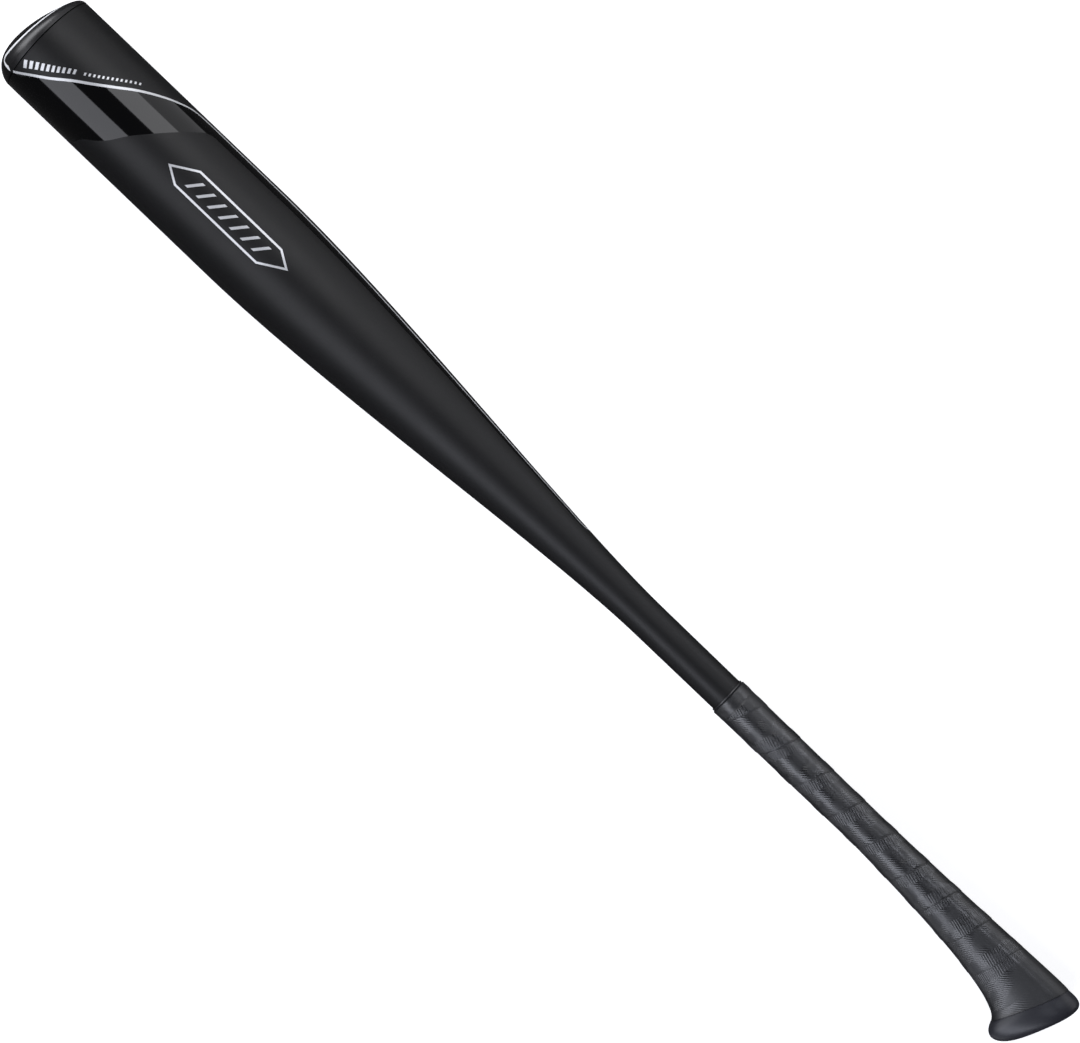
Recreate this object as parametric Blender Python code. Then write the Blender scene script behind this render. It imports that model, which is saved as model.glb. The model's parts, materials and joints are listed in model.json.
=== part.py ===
"""A baseball bat: a hollow tapered alloy shell, a slanted end cap, and a flared oval knob under a
wrapped handle. Metres, +Z up. The bat lies on the ground with +X towards the knob and the heel of
the knob towards -Y, and its box is centred over the origin."""

from math import atan2, cos, pi, radians, sin, sqrt, tau

import bmesh
import bpy
from mathutils import Vector

# Every station below is a distance along the bat's own axis, from the cap (-) to the knob (+).
GAP = 0.0003  # clearance left between pieces that touch

# The shell: a tube that tapers from the barrel to the handle
BARREL_R = 0.0330
BARREL_WALL = 0.0026
HANDLE_WALL = 0.0022
MOUTH_X = -0.4008  # open end of the barrel, closed by the cap
TAPER_START_X = -0.2401
TAPER_END_X = 0.0877
TAPER_START_PULL = 0.0976  # how far the barrel's straight line bends the taper
TAPER_END_PULL = 0.0760
TAPER_END_R = 0.0113
TAPER_STEPS = 14
TAPER_BORE_STEPS = 10
SWAGE_START_X = 0.2620  # the tube is drawn down here to enter the knob
SWAGE_END_X = 0.2700
SWAGE_R = 0.0086
TUBE_END_X = 0.4020
SHELL_SIDES = 40

# The end cap: a sheared half ellipsoid with a skirt that plugs the barrel
CAP_HEIGHT = 0.0141
CAP_SLANT = 0.152  # drop of the crown for each metre towards +Y
CAP_SLANT_FADE = 5  # power with which the slant dies out at the rim
CAP_POWER = 2.12  # 2 would make the dome's outline a true ellipse
CAP_INNER_HEIGHT = 0.0112
CAP_DOME_RINGS = 9
CAP_POLE = 0.12  # radius of the flat at the crown, as a share of the dome's
SKIRT_R = 0.0293
SKIRT_INNER_R = 0.0270
SKIRT_LENGTH = 0.0180
RIB_COUNT = 6
RIB_REACH = 0.0282  # the ribs run into the skirt's wall
RIB_HALF_WIDTH = 0.0008
RIB_ABOVE = 0.0045  # how far the ribs rise past the barrel's mouth
RIB_BELOW = 0.0100
BOND_LENGTH = 0.0120
BOND_INSET = 0.0040  # from the barrel's mouth to the bond ring

# The grip: a wound tape, modelled as a sleeve, and the finishing tape at its upper end
GRIP_START_X = 0.1501
TAPE_LIP = 0.0012  # stretch of the finishing tape that lies on the bare handle
TAPE_LIP_R = 0.01185
TAPE_R = 0.0124
TAPE_END_X = 0.1577
WRAP_START_R = 0.01225
WRAP_THICKNESS = 0.0009
WRAP_SEAT = WRAP_THICKNESS + GAP  # how far the wrap stands off what it covers
WRAP_END = 0.98  # where the wrap stops on the flare, which runs from 0 to 1
WRAP_SIDES = 32

# The flare: two edge curves in the plane z = 0, from the round handle to the knob's band
FLARE_R = 0.01175
FLARE_TOP = ((SWAGE_START_X, FLARE_R), (0.3480, 0.0121), (0.4040, 0.0152), (0.4120, 0.0142))
FLARE_HEEL = ((SWAGE_START_X, -FLARE_R), (0.3242, -0.0140), (0.3886, -0.0185), (0.3926, -0.0306))
FLARE_HALF_DEPTH = 0.0143  # half the thickness along Z where the flare ends
FLARE_STEPS = 12
COLLAR = 0.05  # where the knob's moulding starts on the flare

# The knob's band and end, from the end of the flare to the mouth of the plug's pocket
BAND_TOP = (FLARE_TOP[-1], (0.4150, 0.0133), (0.4277, 0.0172), (0.4230, 0.0043))
BAND_HEEL = (FLARE_HEEL[-1], (0.3972, -0.0438), (0.4078, -0.0355), (0.4122, -0.0247))
BAND_HALF_DEPTH = 0.0147
BAND_START = 0.02  # the band's edge, a step up from the seat of the wrap
BAND_STEPS = 10
BAND_WIDEST = 0.5  # where the band is thickest, from its edge at 0 to the mouth at 1
BAND_CLOSING = 3  # power with which its thickness falls off towards the mouth
MOUTH_HALF_DEPTH = 0.0088
SQUARENESS = 2.2  # exponent of the superellipse that the sections reach
EGG = 0.30  # how much thinner the heel is than the front of a section
BORE_R = SWAGE_R + GAP
BORE_END_X = TUBE_END_X + 2 * GAP

# The plug in the end of the knob
POCKET_DEPTH = 0.0028
PLUG_THICKNESS = POCKET_DEPTH - GAP
PLUG_EDGE = 0.0006
PILOT_R = 0.0040
PILOT_LENGTH = 0.0060
PILOT_EXIT_Y = -0.0035
STEM_R = 0.0035
STEM_LENGTH = 0.0050

# Pieces inside the handle
FOAM_START_X = 0.1150
FOAM_LENGTH = 0.0300
FOAM_CHAMFER = 0.0015
FOAM_VENT_R = 0.0015
DAMPER_START_X = 0.1650
DAMPER_PITCH = 0.0130
DAMPER_RIBS = 6
DAMPER_RIB_LENGTH = 0.0060
DAMPER_BORE_R = 0.0045
DAMPER_BODY_R = 0.0066
WEIGHT_START_X = 0.3000
WEIGHT_LENGTH = 0.0450
WEIGHT_R = 0.0061
WEIGHT_GROOVE_R = 0.0054
WEIGHT_GROOVE = 0.0020
WEIGHT_BARBS = 4
WEIGHT_HOLE_R = 0.0016
INNER_SIDES = 24

CREASE = radians(35)  # edges sharper than this stay hard
WELD = 1e-6  # points closer than this are one
SETTLE_ROUNDS = 6  # times the bat is turned and measured until both ends touch the ground


def material(name, colour, roughness, metallic=0.0):
    """A plain Principled material."""
    made = bpy.data.materials.new(name)
    made.use_nodes = True
    shader = made.node_tree.nodes["Principled BSDF"]
    shader.inputs["Base Color"].default_value = (*colour, 1.0)
    shader.inputs["Roughness"].default_value = roughness
    shader.inputs["Metallic"].default_value = metallic
    made.diffuse_color = (*colour, 1.0)
    return made


def bezier(points, t):
    """The point at t, from 0 to 1, on a cubic curve through its first and last points."""
    a, b, c, d = (Vector((x, y, 0.0)) for x, y in points)
    s = 1.0 - t
    return s**3 * a + 3 * s * s * t * b + 3 * s * t * t * c + t**3 * d


def steps(start, end, count):
    """Values from start to end, both included, in count equal steps."""
    return [start + (end - start) * i / count for i in range(count + 1)]


def ease(t):
    """A smooth rise from 0 to 1, level at both ends."""
    return t * t * (3.0 - 2.0 * t)


def sides_of(count):
    """Angles of a ring's points, with a flat side towards each of +-Y and +-Z."""
    return [(i + 0.5) * tau / count for i in range(count)]


def round_ring(centre, radius, normal, count):
    """A circle of points about centre, square to normal, which lies in the plane z = 0."""
    across = Vector((-normal.y, normal.x, 0.0))
    up = Vector((0.0, 0.0, radius))
    return [centre + radius * cos(a) * across + sin(a) * up for a in sides_of(count)]


def oval_ring(top, heel, half_depth, shape, inset, count):
    """An egg-shaped section through two edge points. shape runs from 0, an ellipse, to 1, the
    knob's squarer egg; inset draws the whole section in."""
    centre = (top + heel) / 2
    across = (top - heel).normalized()
    half_width = (top - heel).length / 2 - inset
    power = 2.0 / (2.0 + (SQUARENESS - 2.0) * shape)
    egg = EGG * shape
    ring = []
    for angle in sides_of(count):
        wide = abs(cos(angle)) ** power * (1 if cos(angle) > 0 else -1)
        deep = abs(sin(angle)) ** power * (1 if sin(angle) > 0 else -1)
        deep *= (1 + egg * wide) / (1 + egg * egg / 2)
        height = Vector((0.0, 0.0, (half_depth - inset) * deep))
        ring.append(centre + half_width * wide * across + height)
    return ring


def add_object(name, tool, look, parent, location=(0.0, 0.0, 0.0)):
    """Turns a finished bmesh into a smooth-shaded object under parent."""
    bmesh.ops.recalc_face_normals(tool, faces=tool.faces)
    mesh = bpy.data.meshes.new(name)
    tool.to_mesh(mesh)
    tool.free()
    mesh.shade_smooth()
    mesh.set_sharp_from_angle(angle=CREASE)
    mesh.materials.append(look)
    piece = bpy.data.objects.new(name, mesh)
    piece.location = location
    piece.parent = parent
    bpy.context.collection.objects.link(piece)
    return piece


def skinned(rings, closed):
    """A bmesh skinned from ring to ring. A closed chain joins its last ring to its first, and an
    open one has both ends filled."""
    tool = bmesh.new()
    loops = [[tool.verts.new(point) for point in ring] for ring in rings]
    if closed:
        loops.append(loops[0])
    for near, far in zip(loops, loops[1:]):
        for i in range(len(near)):
            tool.faces.new((near[i - 1], near[i], far[i], far[i - 1]))
    if not closed:
        bmesh.ops.holes_fill(tool, edges=[edge for edge in tool.edges if edge.is_boundary])
    return tool


def turned(outline, count):
    """A bmesh turned about the X axis from a closed outline of (x, radius) points."""
    tool = bmesh.new()
    start = pi / count
    points = [tool.verts.new((x, r * cos(start), r * sin(start))) for x, r in outline]
    edges = [tool.edges.new(pair) for pair in zip(points, points[1:] + points[:1])]
    bmesh.ops.spin(
        tool, geom=points + edges, axis=(1, 0, 0), cent=(0, 0, 0), angle=tau, steps=count, use_merge=True
    )
    bmesh.ops.remove_doubles(tool, verts=tool.verts, dist=WELD)
    return tool


def taper_outline(count, wall_start=0.0, wall_end=0.0):
    """(x, radius) points down the taper, drawn in by a wall that thins from start to end."""
    curve = (
        (TAPER_START_X, BARREL_R),
        (TAPER_START_X + TAPER_START_PULL, BARREL_R),
        (TAPER_END_X - TAPER_END_PULL, TAPER_END_R),
        (TAPER_END_X, TAPER_END_R),
    )
    points = []
    for t in steps(0.0, 1.0, count):
        at = bezier(curve, t)
        points.append((at.x, at.y - wall_start - (wall_end - wall_start) * t))
    return points


def wrap_radius(x):
    """Outer radius of the wrap on the round part of the handle."""
    share = (x - TAPE_END_X) / (SWAGE_START_X - TAPE_END_X)
    return WRAP_START_R + (FLARE_R - WRAP_START_R) * share


def handle_radius(x):
    """Outer radius of the tube between the taper and the swage."""
    if x > TAPE_END_X:
        return wrap_radius(x) - WRAP_SEAT
    share = (x - TAPER_END_X) / (TAPE_END_X - TAPER_END_X)
    return TAPER_END_R + (WRAP_START_R - WRAP_SEAT - TAPER_END_R) * share


def shell(parent):
    """The one-piece alloy body: barrel, taper, handle and the drawn-down end inside the knob."""
    outer = [(MOUTH_X, BARREL_R)]
    outer += taper_outline(TAPER_STEPS)
    outer += [(x, handle_radius(x)) for x in (TAPE_END_X, SWAGE_START_X)]
    outer += [(SWAGE_END_X, SWAGE_R), (TUBE_END_X, SWAGE_R)]
    inner = [(MOUTH_X, BARREL_R - BARREL_WALL)]
    inner += taper_outline(TAPER_BORE_STEPS, BARREL_WALL, HANDLE_WALL)
    inner += [(x, handle_radius(x) - HANDLE_WALL) for x in (TAPE_END_X, SWAGE_START_X)]
    inner += [(SWAGE_END_X, SWAGE_R - HANDLE_WALL), (TUBE_END_X, SWAGE_R - HANDLE_WALL)]
    look = material("shell_paint", (0.020, 0.020, 0.022), 0.38, 0.3)
    return add_object("shell", turned(outer + inner[::-1], SHELL_SIDES), look, parent)


def dome_ring(radius, height, share):
    """A level line of the slanted dome, at share of its radius from the axis. Its own frame has
    the barrel's mouth at x = 0 and the crown towards -X."""
    rise = height * (1.0 - share**CAP_POWER) ** (1.0 / CAP_POWER)
    slant = CAP_SLANT * (1.0 - share**CAP_SLANT_FADE)
    ring = []
    for angle in sides_of(SHELL_SIDES):
        y = radius * share * cos(angle)
        ring.append(Vector((slant * y - rise, y, radius * share * sin(angle))))
    return ring


def dome_shares():
    """Where the dome's level lines lie, crowded towards the rim, from the crown outwards."""
    turns = steps(CAP_POLE, 1.0, CAP_DOME_RINGS)
    return [CAP_POLE] + [sin(turn * pi / 2) for turn in turns[1:]]


def cap_ribs(parent):
    """A hidden star of ribs that is joined to the cap's skirt."""
    inner = RIB_HALF_WIDTH / sin(pi / RIB_COUNT)
    outline = []
    for i in range(RIB_COUNT):
        arm = i * tau / RIB_COUNT
        for side in (-1, 1):
            reach = Vector((RIB_REACH, side * RIB_HALF_WIDTH))
            y = reach.x * cos(arm) - reach.y * sin(arm)
            z = reach.x * sin(arm) + reach.y * cos(arm)
            outline.append((y, z))
        corner = arm + pi / RIB_COUNT
        outline.append((inner * cos(corner), inner * sin(corner)))
    rings = [[Vector((x, y, z)) for y, z in outline] for x in (-RIB_ABOVE, RIB_BELOW)]
    look = material("cap_rib_moulding", (0.03, 0.03, 0.03), 0.6)
    ribs = add_object("cap_ribs_tool", skinned(rings, closed=False), look, parent)
    ribs.hide_render = True
    ribs.display_type = "WIRE"
    return ribs


def end_cap(parent):
    """The moulded cap: a slanted dome, a skirt inside the barrel, and ribs across the skirt."""
    axis = Vector((1.0, 0.0, 0.0))

    def level(x, radius):
        return round_ring(Vector((x, 0.0, 0.0)), radius, axis, SHELL_SIDES)

    rings = [dome_ring(BARREL_R, CAP_HEIGHT, share) for share in dome_shares()]
    rings += [level(0.0, SKIRT_R), level(SKIRT_LENGTH, SKIRT_R), level(SKIRT_LENGTH, SKIRT_INNER_R)]
    inside = [dome_ring(SKIRT_INNER_R, CAP_INNER_HEIGHT, share) for share in dome_shares()[::2]]
    rings += inside[::-1]
    look = material("cap_moulding", (0.012, 0.012, 0.014), 0.22)
    cap = add_object("end_cap", skinned(rings, closed=False), look, parent, (MOUTH_X - GAP, 0, 0))
    ribs = cap_ribs(cap)
    union = cap.modifiers.new("ribs", "BOOLEAN")
    union.operation = "UNION"
    union.solver = "EXACT"
    union.object = ribs
    return cap


def cap_bond_ring(parent):
    """The ring of cured adhesive that holds the skirt in the barrel."""
    low = SKIRT_R + GAP
    high = BARREL_R - BARREL_WALL - GAP
    outline = [(0.0, low), (0.0, high), (BOND_LENGTH, high), (BOND_LENGTH, low)]
    look = material("urethane_bond", (0.35, 0.27, 0.16), 0.5)
    place = (MOUTH_X + BOND_INSET, 0, 0)
    return add_object("cap_bond_ring", turned(outline, SHELL_SIDES), look, parent, place)


def flare_edges(t):
    """The two edge points of the flare at t, from 0 to 1."""
    return bezier(FLARE_TOP, t), bezier(FLARE_HEEL, t)


def flare_ring(t, inset):
    """A section of the flare, drawn in by inset."""
    top, heel = flare_edges(t)
    half_depth = FLARE_R + (FLARE_HALF_DEPTH - FLARE_R) * ease(t)
    return oval_ring(top, heel, half_depth, ease(t), inset, WRAP_SIDES)


def band_ring(t):
    """A section of the knob's band and rounded end; t runs from 0 to 1, the pocket's mouth."""
    top, heel = bezier(BAND_TOP, t), bezier(BAND_HEEL, t)
    swell = FLARE_HALF_DEPTH + (BAND_HALF_DEPTH - FLARE_HALF_DEPTH) * sin(pi * min(t, BAND_WIDEST))
    half_depth = MOUTH_HALF_DEPTH + (swell - MOUTH_HALF_DEPTH) * sqrt(1.0 - t**BAND_CLOSING)
    return oval_ring(top, heel, half_depth, 1.0, 0.0, WRAP_SIDES)


def knob_end():
    """Centre and outward normal of the flat at the end of the knob."""
    top, heel = bezier(BAND_TOP, 1.0), bezier(BAND_HEEL, 1.0)
    across = (top - heel).normalized()
    return (top + heel) / 2, Vector((across.y, -across.x, 0.0))


def pocket_ring(depth, inset):
    """The outline of the plug's pocket, at a depth below the flat end."""
    centre, normal = knob_end()
    top, heel = bezier(BAND_TOP, 1.0), bezier(BAND_HEEL, 1.0)
    ring = oval_ring(top, heel, MOUTH_HALF_DEPTH, 1.0, inset, WRAP_SIDES)
    return [point - depth * normal for point in ring]


def knob(parent):
    """The flared moulding over the end of the tube: the wrap's seat, the bare band, the pocket
    for the plug, and the socket for the tube."""
    centre, normal = knob_end()
    straight = Vector((1.0, 0.0, 0.0))
    rings = [flare_ring(t, WRAP_SEAT) for t in steps(COLLAR, 1.0, FLARE_STEPS)]
    rings += [band_ring(t) for t in steps(BAND_START, 1.0, BAND_STEPS)]
    rings.append(pocket_ring(POCKET_DEPTH, 0.0))
    for depth in (POCKET_DEPTH, POCKET_DEPTH + PILOT_LENGTH):
        rings.append(round_ring(centre - depth * normal, PILOT_R, normal, WRAP_SIDES))
    exit_centre = Vector((BORE_END_X, PILOT_EXIT_Y, 0.0))
    rings.append(round_ring(exit_centre, PILOT_R, straight, WRAP_SIDES))
    collar_x = bezier(FLARE_TOP, COLLAR).x
    for x in (BORE_END_X, collar_x):
        rings.append(round_ring(Vector((x, 0.0, 0.0)), BORE_R, straight, WRAP_SIDES))
    look = material("knob_moulding", (0.030, 0.032, 0.036), 0.42)
    return add_object("knob", skinned(rings, closed=True), look, parent)


def knob_plug(parent):
    """The oval plug with a flat face, flush with the end of the knob, and its round stem."""
    centre, normal = knob_end()
    edge = GAP + PLUG_EDGE
    rings = [pocket_ring(0.0, edge), pocket_ring(PLUG_EDGE, GAP), pocket_ring(PLUG_THICKNESS, GAP)]
    for depth in (PLUG_THICKNESS, PLUG_THICKNESS + STEM_LENGTH):
        rings.append(round_ring(centre - depth * normal, STEM_R, normal, WRAP_SIDES))
    look = material("plug_moulding", (0.045, 0.046, 0.050), 0.55)
    return add_object("knob_plug", skinned(rings, closed=False), look, parent)


def grip_wrap(parent):
    """The wound grip as one sleeve, from the finishing tape down to the knob's band."""
    straight = Vector((1.0, 0.0, 0.0))
    start = TAPE_END_X + GAP

    def sleeve(inset):
        first = Vector((start, 0.0, 0.0))
        rings = [round_ring(first, wrap_radius(start) - inset, straight, WRAP_SIDES)]
        return rings + [flare_ring(t, inset) for t in steps(0.0, WRAP_END, FLARE_STEPS)]

    rings = sleeve(0.0) + sleeve(WRAP_THICKNESS)[::-1]
    look = material("grip_polymer", (0.040, 0.042, 0.047), 0.5)
    return add_object("grip_wrap", skinned(rings, closed=True), look, parent)


def grip_end_tape(parent):
    """The finishing tape that holds the upper end of the wrap, with a lip on the bare handle."""
    inner = handle_radius(GRIP_START_X) + GAP
    length = TAPE_END_X - GRIP_START_X
    outline = [
        (-TAPE_LIP, inner),
        (-TAPE_LIP, TAPE_LIP_R),
        (0.0, TAPE_LIP_R),
        (0.0, TAPE_R),
        (length, TAPE_R),
        (length, inner),
    ]
    look = material("finishing_tape", (0.028, 0.028, 0.030), 0.4)
    place = (GRIP_START_X, 0, 0)
    return add_object("grip_end_tape", turned(outline, WRAP_SIDES), look, parent, place)


def foam_plug(parent):
    """The vented foam plug that closes the handle off from the barrel."""
    radius = handle_radius(FOAM_START_X + FOAM_LENGTH) - HANDLE_WALL - GAP
    outline = [
        (0.0, FOAM_VENT_R),
        (0.0, radius - FOAM_CHAMFER),
        (FOAM_CHAMFER, radius),
        (FOAM_LENGTH - FOAM_CHAMFER, radius),
        (FOAM_LENGTH, radius - FOAM_CHAMFER),
        (FOAM_LENGTH, FOAM_VENT_R),
    ]
    look = material("closed_cell_foam", (0.55, 0.55, 0.52), 0.9)
    place = (FOAM_START_X, 0, 0)
    return add_object("handle_foam_plug", turned(outline, INNER_SIDES), look, parent, place)


def handle_damper(parent):
    """The ribbed rubber sleeve inside the handle, under the hands."""
    end = DAMPER_START_X + DAMPER_PITCH * DAMPER_RIBS
    rib_r = handle_radius(end) - HANDLE_WALL - GAP
    shoulder = (rib_r - DAMPER_BODY_R) / 2
    outline = [(0.0, DAMPER_BORE_R)]
    for i in range(DAMPER_RIBS):
        x = i * DAMPER_PITCH
        outline += [
            (x, DAMPER_BODY_R),
            (x + shoulder, rib_r),
            (x + DAMPER_RIB_LENGTH, rib_r),
            (x + DAMPER_RIB_LENGTH + shoulder, DAMPER_BODY_R),
        ]
    length = outline[-1][0]
    outline.append((length, DAMPER_BORE_R))
    look = material("damper_rubber", (0.10, 0.11, 0.12), 0.8)
    place = (DAMPER_START_X, 0, 0)
    return add_object("handle_damper", turned(outline, INNER_SIDES), look, parent, place)


def balance_weight(parent):
    """The barbed steel slug bonded in the tube, which sets the bat's weight and balance."""
    pitch = WEIGHT_LENGTH / WEIGHT_BARBS
    outline = [(0.0, WEIGHT_HOLE_R)]
    for i in range(WEIGHT_BARBS):
        x = i * pitch
        crest = (x + WEIGHT_GROOVE, WEIGHT_R), (x + pitch - WEIGHT_GROOVE, WEIGHT_R)
        outline += [(x, WEIGHT_GROOVE_R), *crest]
    outline += [(WEIGHT_LENGTH, WEIGHT_GROOVE_R), (WEIGHT_LENGTH, WEIGHT_HOLE_R)]
    look = material("weight_steel", (0.45, 0.45, 0.46), 0.35, 1.0)
    place = (WEIGHT_START_X, 0, 0)
    return add_object("balance_weight", turned(outline, INNER_SIDES), look, parent, place)


def world_points(pieces):
    """Every vertex of the pieces in world space."""
    bpy.context.view_layer.update()
    return [piece.matrix_world @ v.co for piece in pieces for v in piece.data.vertices]


def lay_on_ground(axis, pieces):
    """Turns the bat about Y until barrel and knob both touch z = 0, and centres its box."""
    for _ in range(SETTLE_ROUNDS):
        points = world_points(pieces)
        barrel = min((p for p in points if p.x < 0.0), key=lambda p: p.z)
        heel = min((p for p in points if p.x > 0.0), key=lambda p: p.z)
        axis.rotation_euler.y += atan2(heel.z - barrel.z, heel.x - barrel.x)
    points = world_points(pieces)
    axis.location.x = -(max(p.x for p in points) + min(p.x for p in points)) / 2
    axis.location.y = -(max(p.y for p in points) + min(p.y for p in points)) / 2
    axis.location.z = -min(p.z for p in points)


def build():
    """Clears the scene and builds the whole bat under one empty on its axis."""
    for old in list(bpy.data.objects):
        bpy.data.objects.remove(old, do_unlink=True)
    axis = bpy.data.objects.new("bat_axis", None)
    bpy.context.collection.objects.link(axis)
    makers = (
        shell,
        end_cap,
        cap_bond_ring,
        foam_plug,
        handle_damper,
        balance_weight,
        knob,
        knob_plug,
        grip_wrap,
        grip_end_tape,
    )
    lay_on_ground(axis, [make(axis) for make in makers])


build()
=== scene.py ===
"""Looks of the baseball bat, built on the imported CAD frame: fine body, cap, knob and plug, painted
lines, the wound grip with its overlaps and ridges, and a procedural material on every piece."""

import json
from math import cos, pi, radians, sin, sqrt, tau

import bmesh
import bpy
import numpy as np
from mathutils import Matrix, Vector

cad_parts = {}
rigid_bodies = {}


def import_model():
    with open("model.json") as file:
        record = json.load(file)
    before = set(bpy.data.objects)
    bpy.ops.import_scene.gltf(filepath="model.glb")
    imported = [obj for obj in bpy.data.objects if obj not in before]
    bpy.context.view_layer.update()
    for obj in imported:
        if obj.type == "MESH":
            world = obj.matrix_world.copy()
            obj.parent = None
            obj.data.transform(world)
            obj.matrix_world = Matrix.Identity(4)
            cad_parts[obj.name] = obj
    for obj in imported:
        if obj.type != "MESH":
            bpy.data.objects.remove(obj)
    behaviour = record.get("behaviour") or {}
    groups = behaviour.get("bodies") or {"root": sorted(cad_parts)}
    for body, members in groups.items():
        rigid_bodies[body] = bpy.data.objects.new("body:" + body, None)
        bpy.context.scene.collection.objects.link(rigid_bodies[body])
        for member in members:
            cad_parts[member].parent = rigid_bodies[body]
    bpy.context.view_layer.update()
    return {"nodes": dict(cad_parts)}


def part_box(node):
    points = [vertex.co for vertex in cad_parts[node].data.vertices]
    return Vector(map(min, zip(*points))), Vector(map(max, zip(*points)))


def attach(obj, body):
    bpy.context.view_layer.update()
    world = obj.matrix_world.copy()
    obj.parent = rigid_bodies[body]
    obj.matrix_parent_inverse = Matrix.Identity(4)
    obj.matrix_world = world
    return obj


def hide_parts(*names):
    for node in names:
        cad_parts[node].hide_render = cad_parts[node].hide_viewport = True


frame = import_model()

# -------------------- the bat's own frame
# x runs along the bat's axis from the cap to the knob, y towards the top edge of the knob's flare
# (its heel is at -y), and z away from the floor. Two round pieces inside the bat give the axis.
RING_X = -0.3908  # station of the bond ring's middle


def middle(node):
    """Centre of a CAD node's box."""
    low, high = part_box(node)
    return (Vector(low) + Vector(high)) / 2


AXIS_X = (middle("balance_weight") - middle("cap_bond_ring")).normalized()
AXIS_Z = AXIS_X.cross(Vector((0.0, 1.0, 0.0))).normalized()
AXIS_Y = AXIS_Z.cross(AXIS_X)
ORIGIN = middle("cap_bond_ring") - RING_X * AXIS_X
TO_WORLD = np.array([AXIS_X, AXIS_Y, AXIS_Z])


def to_world(points):
    """World positions of an (n, 3) array of points in the bat's frame."""
    return np.asarray(points, float) @ TO_WORLD + np.array(ORIGIN)


def spot(x, y, z):
    """World position of one point in the bat's frame."""
    return Vector(to_world([(x, y, z)])[0])


# -------------------- dimensions, as in the CAD
# The TAPER, FLARE and BAND curves and the cap's height and slant came out of separate fits.
GAP = 0.0003
BARREL_R = 0.0330
BARREL_WALL = 0.0026
HANDLE_WALL = 0.0022
MOUTH_X = -0.4008
TAPER = ((-0.2401, 0.0330), (-0.1425, 0.0330), (0.0117, 0.0113), (0.0877, 0.0113))
TAPER_END_X = TAPER[-1][0]
SWAGE_START_X = 0.2620
SWAGE_END_X = 0.2700
SWAGE_R = 0.0086
TUBE_END_X = 0.4020

CAP_HEIGHT = 0.0141
CAP_SLANT = 0.152
CAP_SLANT_FADE = 5
CAP_POWER = 2.12
CAP_INNER_HEIGHT = 0.0112
SKIRT_R = 0.0293
SKIRT_INNER_R = 0.0270
SKIRT_LENGTH = 0.0180

GRIP_START_X = 0.1501
TAPE_LIP = 0.0012
TAPE_LIP_R = 0.01185
TAPE_R = 0.0124
TAPE_END_X = 0.1577
WRAP_START_R = 0.01225
WRAP_THICKNESS = 0.0009
WRAP_SEAT = WRAP_THICKNESS + GAP
WRAP_END = 0.997

FLARE_R = 0.01175
FLARE_TOP = ((SWAGE_START_X, FLARE_R), (0.3480, 0.0121), (0.4040, 0.0152), (0.4120, 0.0142))
FLARE_HEEL = ((SWAGE_START_X, -FLARE_R), (0.3242, -0.0140), (0.3886, -0.0185), (0.3926, -0.0306))
FLARE_HALF_DEPTH = 0.0143
COLLAR = 0.05
BAND_TOP = (FLARE_TOP[-1], (0.4150, 0.0133), (0.4277, 0.0172), (0.4230, 0.0043))
BAND_HEEL = (FLARE_HEEL[-1], (0.3972, -0.0438), (0.4078, -0.0355), (0.4122, -0.0247))
BAND_HALF_DEPTH = 0.0147
BAND_START = 0.006
MOUTH_HALF_DEPTH = 0.0088
SQUARENESS = 2.2
EGG = 0.30
BORE_R = SWAGE_R + GAP
BORE_END_X = TUBE_END_X + 2 * GAP
POCKET_DEPTH = 0.0028
PLUG_THICKNESS = POCKET_DEPTH - GAP
PILOT_R = 0.0040
PILOT_LENGTH = 0.0060
PILOT_EXIT_Y = -0.0035
STEM_R = 0.0035
STEM_LENGTH = 0.0050


# -------------------- shapes
def bezier(points, t):
    """Points of a cubic curve, for one t or an array of them, as an array of (x, y)."""
    t = np.asarray(t, float)[..., None]
    a, b, c, d = (np.array(p, float) for p in points)
    s = 1.0 - t
    return s**3 * a + 3 * s * s * t * b + 3 * s * t * t * c + t**3 * d


def ease(t):
    """A smooth rise from 0 to 1, level at both ends."""
    t = np.clip(t, 0.0, 1.0)
    return t * t * (3.0 - 2.0 * t)


def rise(low, high, value):
    """A smooth step from 0 below low to 1 above high."""
    return ease((value - low) / (high - low))


def sides_of(count):
    """Angles of a ring's points, from the +y edge through +z."""
    return (np.arange(count) + 0.5) * tau / count


def circle(x, radius, count):
    """A ring about the bat's axis."""
    a = sides_of(count)
    return np.stack([np.full(count, x), radius * np.cos(a), radius * np.sin(a)], axis=1)


def tilted_circle(centre, radius, normal, count):
    """A ring about a point in the plane z = 0, square to a normal in that plane."""
    a = sides_of(count)
    x = centre[0] - radius * np.cos(a) * normal[1]
    y = centre[1] + radius * np.cos(a) * normal[0]
    return np.stack([x, y, radius * np.sin(a)], axis=1)


def oval_ring(top, heel, half_depth, shape, inset, angles):
    """The egg-shaped section between two edge points; shape 0 is an ellipse and 1 the squarer egg."""
    centre, span = (top + heel) / 2, top - heel
    length = np.hypot(*span)
    power = 2.0 / (2.0 + (SQUARENESS - 2.0) * shape)
    egg = EGG * shape
    wide = np.abs(np.cos(angles)) ** power * np.sign(np.cos(angles))
    deep = np.abs(np.sin(angles)) ** power * np.sign(np.sin(angles))
    deep = deep * (1 + egg * wide) / (1 + egg * egg / 2)
    flat = centre + (length / 2 - inset) * wide[:, None] * span / length
    return np.column_stack([flat, (half_depth - inset) * deep])


def flare_ring(t, inset, angles):
    """A section of the flare, from its start at t = 0 to the knob's band at t = 1."""
    half_depth = FLARE_R + (FLARE_HALF_DEPTH - FLARE_R) * ease(t)
    return oval_ring(bezier(FLARE_TOP, t), bezier(FLARE_HEEL, t), half_depth, ease(t), inset, angles)


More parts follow.
